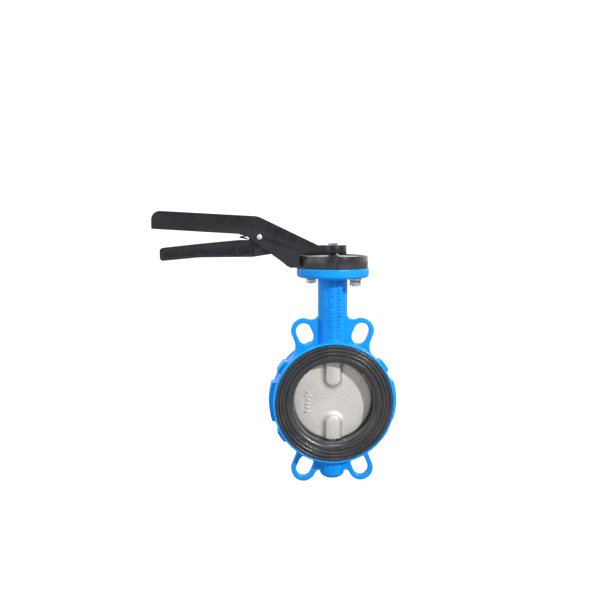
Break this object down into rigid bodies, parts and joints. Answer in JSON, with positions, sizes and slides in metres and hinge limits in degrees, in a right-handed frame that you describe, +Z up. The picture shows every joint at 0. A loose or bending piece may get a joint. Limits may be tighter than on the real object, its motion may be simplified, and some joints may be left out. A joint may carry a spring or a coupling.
{
  "type": "wafer butterfly valve with hand lever",
  "caption": "Wafer butterfly valve with rubber-lined bore, rotating disc, slotted guide ears and a notched hand lever with a squeeze trigger.",
  "frame": {"origin": "where the pipe's axis crosses the stem's axis, in the middle of the bore", "axes": "+Y along the pipe, +Z up the stem, the lever points to -X when the valve is closed"},
  "size_m": [0.2988, 0.089, 0.3372],
  "materials": {
    "body_paint": "satin blue epoxy over a cast surface",
    "rubber": "matt moulded",
    "disc_metal": "grainy blasted casting",
    "stem_steel": "turned",
    "pin_steel": "bright",
    "spring_steel": "bright wire",
    "zinc_steel": "zinc plated",
    "black_enamel": "gloss black enamel",
    "lever_enamel": "satin black enamel",
    "bush_polymer": "machined"
  },
  "bodies": {
    "valve_body": {"body": "body_paint", "seat": "rubber", "neck_bush": "bush_polymer", "upper_bush": "bush_polymer", "bottom_bush": "bush_polymer", "neck_stem_seal": "rubber", "upper_stem_seal": "rubber", "plug_seal": "rubber", "thrust_washer": "zinc_steel", "bottom_plug": "zinc_steel", "notch_plate": "black_enamel", "plate_bolt_front": "zinc_steel", "plate_bolt_rear": "zinc_steel", "flat_washer_front": "zinc_steel", "flat_washer_rear": "zinc_steel", "spring_washer_front": "zinc_steel", "spring_washer_rear": "zinc_steel", "nut_front": "zinc_steel", "nut_rear": "zinc_steel"},
    "stem_and_lever": {"disc": "disc_metal", "upper_stem": "stem_steel", "lower_stem": "stem_steel", "stem_circlip": "stem_steel", "lever": "lever_enamel", "lever_set_screw": "zinc_steel", "pivot_pin": "pin_steel", "pin_clip": "stem_steel", "trigger_spring": "spring_steel"},
    "trigger": {"trigger": "lever_enamel"}
  },
  "joints": [
    {"name": "stem_turn", "type": "hinge", "parent": "valve_body", "child": "stem_and_lever", "pos_m": [0, 0, 0], "axis": [0, 0, 1], "range_deg": [0, 90]},
    {"name": "trigger_squeeze", "type": "hinge", "parent": "stem_and_lever", "child": "trigger", "pos_m": [-0.0902, 0, 0.2034], "axis": [0, 1, 0], "range_deg": [-3.5, 10], "stiffness_Nm_per_rad": 1.5, "springref_deg": -5.73, "deforming": ["trigger_spring"]}
  ]
}
